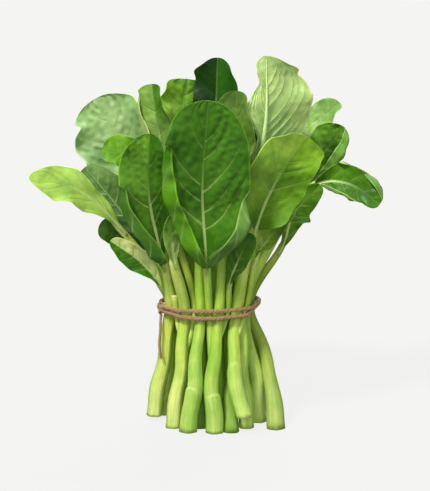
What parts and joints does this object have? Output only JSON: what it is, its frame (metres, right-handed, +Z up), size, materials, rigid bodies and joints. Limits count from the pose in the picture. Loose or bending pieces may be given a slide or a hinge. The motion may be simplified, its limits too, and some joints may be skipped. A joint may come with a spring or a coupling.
{
  "type": "mustard greens bunch",
  "caption": "Upright bunch of leafy mustard greens, tied round the stalks with twine and standing on its cut stalk ends.",
  "frame": {"origin": "middle of the central stalk's cut end, on the ground", "axes": "+Z up along the bunch from the cut ends to the leaf tips, -Y the front with the largest leaf, +X the right side seen from the front"},
  "size_m": [0.259, 0.1727, 0.278],
  "materials": {
    "leaf_dark": "satin",
    "leaf_mid": "satin",
    "leaf_pale": "satin",
    "stalk": "satin",
    "twine": "matte"
  },
  "bodies": {
    "root": {"leaf_back_left": "leaf_dark", "leaf_back_middle_left": "leaf_mid", "leaf_back_middle_right": "leaf_dark", "leaf_back_right": "leaf_dark", "leaf_centre": "leaf_dark", "leaf_far_left": "leaf_pale", "leaf_front_large": "leaf_dark", "leaf_front_narrow": "leaf_pale", "leaf_front_olive": "leaf_mid", "leaf_front_small": "leaf_dark", "leaf_inner_back": "leaf_mid", "leaf_inner_back_right": "leaf_dark", "leaf_inner_front": "leaf_dark", "leaf_inner_left": "leaf_mid", "leaf_inner_right": "leaf_mid", "leaf_left_bright": "leaf_mid", "leaf_left_front": "leaf_dark", "leaf_left_grey": "leaf_mid", "leaf_left_round": "leaf_pale", "leaf_left_small": "leaf_dark", "leaf_low_left": "leaf_pale", "leaf_right_curled": "leaf_dark", "leaf_right_drooping": "leaf_dark", "leaf_right_folded": "leaf_dark", "leaf_right_front": "leaf_mid", "leaf_right_grey": "leaf_mid", "leaf_right_low": "leaf_dark", "leaf_top_crinkled": "leaf_pale", "leaf_top_dark": "leaf_dark", "leaf_top_left_folded": "leaf_mid", "leaf_top_right_pale": "leaf_pale", "stem_back_left": "stalk", "stem_back_middle_left": "stalk", "stem_back_middle_right": "stalk", "stem_back_right": "stalk", "stem_centre": "stalk", "stem_front_left": "stalk", "stem_front_middle": "stalk", "stem_front_middle_left": "stalk", "stem_front_right": "stalk", "stem_inner_back": "stalk", "stem_inner_front": "stalk", "stem_inner_left": "stalk", "stem_inner_left_front": "stalk", "stem_inner_right": "stalk", "stem_inner_right_front": "stalk", "stem_left": "stalk", "stem_left_back": "stalk", "stem_left_front": "stalk", "stem_left_inner": "stalk", "stem_left_middle": "stalk", "stem_right": "stalk", "stem_right_back": "stalk", "stem_right_front": "stalk", "stem_right_middle": "stalk", "twine_tail": "twine", "twine_wrap": "twine"}
  },
  "joints": []
}
